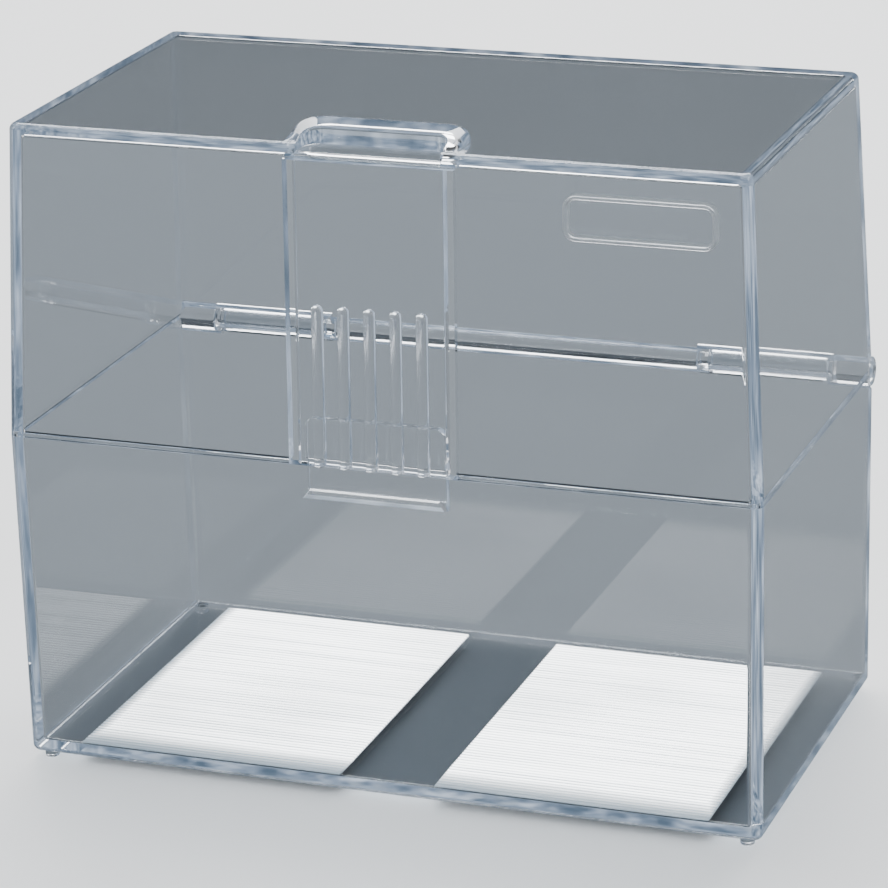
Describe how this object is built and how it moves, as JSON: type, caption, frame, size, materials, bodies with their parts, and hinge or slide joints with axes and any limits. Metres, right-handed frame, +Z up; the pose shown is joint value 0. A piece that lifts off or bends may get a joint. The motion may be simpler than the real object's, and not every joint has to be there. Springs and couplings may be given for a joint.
{
  "type": "card index box",
  "caption": "Clear plastic card index box: open base tray on small feet, lid hinged along the back, front latch tongue with ribs and a thumb scoop.",
  "frame": {"origin": "centre of the bounding box's bottom, on the surface that the feet stand on", "axes": "+X to the box's right seen from the front, +Y to the hinge at the back, +Z up"},
  "size_m": [0.16, 0.0926, 0.1404],
  "materials": {
    "clear_plastic": "crystal-clear polystyrene, polished, faint blue edge tint",
    "hinge_plastic": "crystal-clear polystyrene, polished round bars",
    "grooved_floor": "clear polystyrene moulded with fine parallel grooves that scatter the light and look white"
  },
  "bodies": {
    "base": {"base_tray": "clear_plastic", "floor_panel_left": "grooved_floor", "floor_panel_right": "grooved_floor", "foot_front_left": "clear_plastic", "foot_front_right": "clear_plastic", "foot_back_left": "clear_plastic", "foot_back_right": "clear_plastic", "hinge_knuckle_left": "hinge_plastic", "hinge_knuckle_right": "hinge_plastic"},
    "lid": {"lid_shell": "clear_plastic", "grip_rim": "clear_plastic", "label_frame": "clear_plastic", "hinge_barrel": "hinge_plastic", "hinge_end_left": "hinge_plastic", "hinge_end_right": "hinge_plastic", "hinge_pin_left": "hinge_plastic", "hinge_pin_right": "hinge_plastic"},
    "latch": {"latch_tongue": "clear_plastic", "latch_hook": "clear_plastic", "grip_rib_1": "clear_plastic", "grip_rib_2": "clear_plastic", "grip_rib_3": "clear_plastic", "grip_rib_4": "clear_plastic", "grip_rib_5": "clear_plastic"}
  },
  "joints": [
    {"name": "lid_hinge", "type": "hinge", "parent": "base", "child": "lid", "pos_m": [0, 0.04255, 0.0723], "axis": [-1, 0, 0], "range_deg": [0, 110]},
    {"name": "latch_press", "type": "hinge", "parent": "lid", "child": "latch", "pos_m": [0, -0.04125, 0.1344], "axis": [1, 0, 0], "range_deg": [0, 2.2], "stiffness_Nm_per_rad": 5.7}
  ]
}
